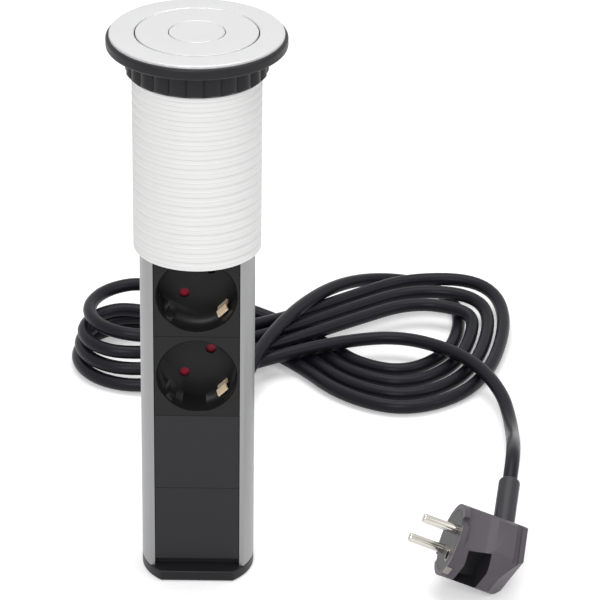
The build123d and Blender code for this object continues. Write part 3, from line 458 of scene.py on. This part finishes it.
def nurbs_line(name, points, radius):
    """Smooth cord with those control points, which carry its radius so that its bounds are true."""
    data = bpy.data.curves.new(name, "CURVE")
    data.dimensions = "3D"
    spline = data.splines.new("NURBS")
    spline.points.add(len(points) - 1)
    for point, place in zip(spline.points, points):
        point.co = (*place, 1.0)
        point.radius = radius
    spline.order_u = 3
    spline.use_endpoint_u = True
    spline.resolution_u = 8
    data.bevel_depth = 1.0
    data.bevel_resolution = 5
    data.use_fill_caps = True
    cord = bpy.data.objects.new(name, data)
    bpy.context.scene.collection.objects.link(cord)
    return cord


def length_of(cord):
    """Length of the line that the cord's spline really takes."""
    depth = cord.data.bevel_depth
    caps = cord.data.use_fill_caps
    cord.data.bevel_depth = 0.0
    cord.data.use_fill_caps = False
    line = bpy.data.meshes.new_from_object(cord)
    cord.data.bevel_depth = depth
    cord.data.use_fill_caps = caps
    total = 0.0
    for edge in line.edges:
        a, b = edge.vertices
        total += (line.vertices[a].co - line.vertices[b].co).length
    bpy.data.meshes.remove(line)
    return total


def add_cord():
    """Mains cord in the lay of the photograph."""
    cord = nurbs_line("mains_cord", cord_route(), CORD_R * MM)
    cord.data.materials.append(cord_sheath)
    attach(cord, "tower")
    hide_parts("cord_lead", "cord_hank", "cord_tail")
    length_of(cord)


# Pieces finished over their solids

def only(piece):
    """Select and activate one object, and nothing else."""
    bpy.ops.object.select_all(action="DESELECT")
    piece.select_set(True)
    bpy.context.view_layer.objects.active = piece


def finished(node, body, material, edge=0.0003, angle=35.0, joined=False):
    """Copy of a solid with its sharp edges rounded, and its faces joined or kept flat."""
    mesh = nodes[node].data.copy()
    piece = bpy.data.objects.new(f"{node}_finish", mesh)
    bpy.context.scene.collection.objects.link(piece)
    mesh.materials.clear()
    mesh.materials.append(material)
    only(piece)
    bpy.ops.object.mode_set(mode="EDIT")
    bpy.ops.mesh.select_all(action="SELECT")
    bpy.ops.mesh.remove_doubles(threshold=0.00001)
    if edge or joined:
        bpy.ops.mesh.dissolve_limited(angle_limit=math.radians(0.5))
    bpy.ops.mesh.select_all(action="DESELECT")
    bpy.ops.object.mode_set(mode="OBJECT")
    if edge:
        bevel = piece.modifiers.new("round", "BEVEL")
        bevel.limit_method = "ANGLE"
        bevel.angle_limit = math.radians(angle)
        bevel.width = edge
        bevel.segments = 2
        bevel.use_clamp_overlap = True
        bpy.ops.object.modifier_apply(modifier="round")
    bpy.ops.object.shade_smooth_by_angle(angle=math.radians(angle))
    flat = piece.modifiers.new("flat", "WEIGHTED_NORMAL")
    flat.keep_sharp = True
    bpy.ops.object.modifier_apply(modifier="flat")
    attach(piece, body)
    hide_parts(node)
    return piece


def add_spring():
    """The button's spring, finished and given a mesh of its own."""
    spring = finished("button_spring", "tower", steel, edge=0.0)
    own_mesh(spring)


def paint(node, material):
    """Give a solid that stays its material."""
    data = nodes[node].data
    data.materials.clear()
    data.materials.append(material)


finished("flange_rim", "collar_assembly", black_moulding)
finished("flange_face", "collar_assembly", silver, edge=0.0)
finished("collar", "collar_assembly", white_moulding, edge=0.0)
finished("clamp_nut", "nut", black_moulding)
finished("pressure_ring", "nut_carrier", black_moulding)
finished("lid_disc", "tower", silver, edge=0.0)
finished("button", "button", silver, edge=0.0)
finished("tower_profile", "tower", anodised, edge=0.00025)
finished("base_cap", "tower", black_moulding)
finished("blank_lower", "tower", black_panel, edge=0.0)
finished("blank_upper", "tower", black_panel, edge=0.0)
finished("head_block", "tower", black_moulding, edge=0.0)
finished("cord_relief", "tower", cord_sheath)
paint("cord_entry", cord_sheath)
for number in range(1, SOCKETS + 1):
    finished(f"socket_body_{number}", "tower", socket_black, edge=0.0, joined=True)
    paint(f"earth_clips_{number}", brass)
    paint(f"pin_contacts_{number}", brass)
    paint(f"socket_back_{number}", black_panel)
    paint(f"shutter_{number}", red_moulding)
for name in ("busbar_live", "busbar_neutral", "busbar_earth"):
    paint(name, brass)
for name in ("base_screws", "head_screws", "clamp_screws", "terminal_screws", "latch_bolt"):
    paint(name, steel)
for name in ("guide_front", "guide_rear", "terminal_block"):
    paint(name, grey_moulding)
add_spring()
paint("core_wires", wire_sheath)
paint("cord_clamp", black_panel)

def paint_hollow_shade(piece):
    """Paint shade into the hollow in the plug's near side: its faces get the darker, smoother
    material.
    """
    mesh = piece.data
    mesh.materials.append(plug_dark_and_hollow_shade)
    sideways = CORD_AHEAD.cross(PINS_AHEAD)
    for face in mesh.polygons:
        place = face.center / MM - PLUG_FACE
        level = -place.dot(CORD_AHEAD)
        forward = place.dot(PINS_AHEAD) + PLUG_RIM
        side = place.dot(sideways)
        out = level * math.cos(HOLLOW_LEAN) - forward * math.sin(HOLLOW_LEAN) - HOLLOW_OUT
        deep = -level * math.sin(HOLLOW_LEAN) - forward * math.cos(HOLLOW_LEAN)
        in_round = math.hypot(out, side - HOLLOW_SHIFT) < HOLLOW_R + HOLLOW_EDGE
        in_depth = -HOLLOW_EDGE < deep < HOLLOW_DEPTH + HOLLOW_EDGE
        if in_round and in_depth and side > -HOLLOW_RIM - HOLLOW_EDGE:
            face.material_index = 1


plug_body = finished("plug_body", "tower", plug_moulding)
# Painted shade on the faces of the plug's hollow
paint_hollow_shade(plug_body)
plug_pieces = [
    plug_body,
    finished("plug_face", "tower", plug_dark_and_hollow_shade),
    finished("plug_pins", "tower", nickel, edge=0.0),
    # The earth strips, in nickel darkened as painted shade
    finished("plug_earth", "tower", nickel_painted_shade, edge=0.0),
    finished("plug_sleeve", "tower", sleeve_moulding, edge=0.0),
]


# Floor and light

def background_rays(tree):
    """Mask of the rays that show the background: from the camera, reflected, or let through."""
    rays = tree.nodes.new("ShaderNodeLightPath")
    seen = tree.nodes.new("ShaderNodeMath")
    seen.operation = "MAXIMUM"
    tree.links.new(rays.outputs["Is Camera Ray"], seen.inputs[0])
    tree.links.new(rays.outputs["Is Glossy Ray"], seen.inputs[1])
    through = tree.nodes.new("ShaderNodeMath")
    through.operation = "MAXIMUM"
    tree.links.new(seen.outputs[0], through.inputs[0])
    tree.links.new(rays.outputs["Is Transmission Ray"], through.inputs[1])
    return through.outputs[0]


def add_floor():
    """Pale floor that reads white in the camera and keeps the object's shadow."""
    bpy.ops.mesh.primitive_plane_add(size=14.0, location=(0.0, 0.0, -0.0002))
    floor = bpy.context.object
    floor.name = "floor"
    material = bpy.data.materials.new("floor_white")
    material.use_nodes = True
    tree = material.node_tree
    shader = tree.nodes["Principled BSDF"]
    shader.inputs["Base Color"].default_value = (0.86, 0.86, 0.86, 1.0)
    shader.inputs["Roughness"].default_value = 0.9
    shader.inputs["Specular IOR Level"].default_value = 0.1
    lift = tree.nodes.new("ShaderNodeMath")
    lift.operation = "MULTIPLY"
    lift.inputs[1].default_value = FLOOR_LIFT
    tree.links.new(background_rays(tree), lift.inputs[0])
    shader.inputs["Emission Color"].default_value = (1.0, 1.0, 1.0, 1.0)
    tree.links.new(lift.outputs[0], shader.inputs["Emission Strength"])
    floor.data.materials.append(material)


def add_world():
    """White surroundings, dimmer for the light that they give."""
    world = bpy.data.worlds.new("studio")
    bpy.context.scene.world = world
    world.use_nodes = True
    tree = world.node_tree
    back = tree.nodes["Background"]
    back.inputs["Color"].default_value = (1.0, 1.0, 1.0, 1.0)
    bright = tree.nodes.new("ShaderNodeMath")
    bright.operation = "MULTIPLY_ADD"
    bright.inputs[1].default_value = 1.0 - WORLD_LIGHT
    bright.inputs[2].default_value = WORLD_LIGHT
    tree.links.new(background_rays(tree), bright.inputs[0])
    tree.links.new(bright.outputs[0], back.inputs["Strength"])


def add_lamp(name, place, aim, size, power):
    """Square soft light that points at one place."""
    data = bpy.data.lights.new(name, "AREA")
    data.shape = "RECTANGLE"
    data.size, data.size_y = size
    data.energy = power
    lamp = bpy.data.objects.new(name, data)
    bpy.context.scene.collection.objects.link(lamp)
    lamp.location = place
    lamp.rotation_euler = (Vector(aim) - Vector(place)).to_track_quat("-Z", "Y").to_euler()


add_camera()
add_cord()
add_floor()
add_world()
add_lamp("key", (-0.5, -2.0, 1.7), (0.0, 0.0, 0.12), (1.6, 1.2), 34.0)
add_lamp("top", (0.2, 0.4, 2.1), (0.05, 0.15, 0.1), (1.8, 1.4), 26.0)
add_lamp("side", (1.7, -0.7, 1.0), (0.0, 0.0, 0.15), (0.8, 1.2), 6.0)

bpy.context.scene.view_settings.view_transform = "Standard"

bpy.context.view_layer.update()
